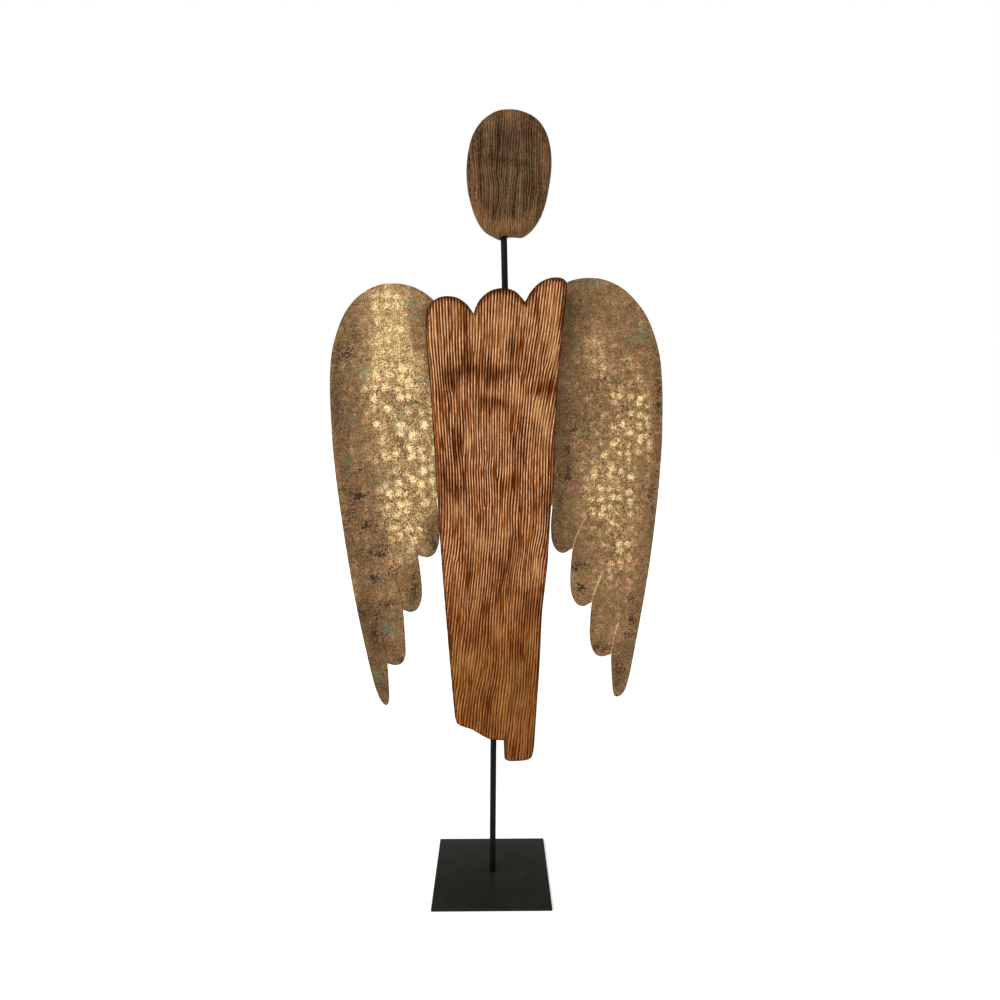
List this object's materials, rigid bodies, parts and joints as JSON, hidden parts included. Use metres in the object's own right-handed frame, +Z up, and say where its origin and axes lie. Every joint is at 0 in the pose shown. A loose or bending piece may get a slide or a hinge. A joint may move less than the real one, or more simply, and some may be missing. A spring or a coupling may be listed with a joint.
{
  "type": "angel statue",
  "caption": "Standing decorative angel: faceless oval wooden head, brushed board body with lobed top, sheet metal wings with stepped feathers, on a rod and square plate.",
  "frame": {"origin": "middle of the base plate's underside, on the floor", "axes": "+Z up, the viewer at -Y facing the front, +X to the viewer's right"},
  "size_m": [0.4323, 0.15, 0.9854],
  "materials": {
    "base_plate": "matte black",
    "rods": "satin black",
    "body": "deeply brushed softwood, stained warm brown",
    "wings": "mottled aged brass with brown and green patina",
    "head": "dark weathered wood"
  },
  "bodies": {
    "root": {"base_plate": "base_plate", "stand_rod": "rods", "body": "body", "left_wing": "wings", "right_wing": "wings", "neck_rod": "rods", "head": "head"}
  },
  "joints": []
}
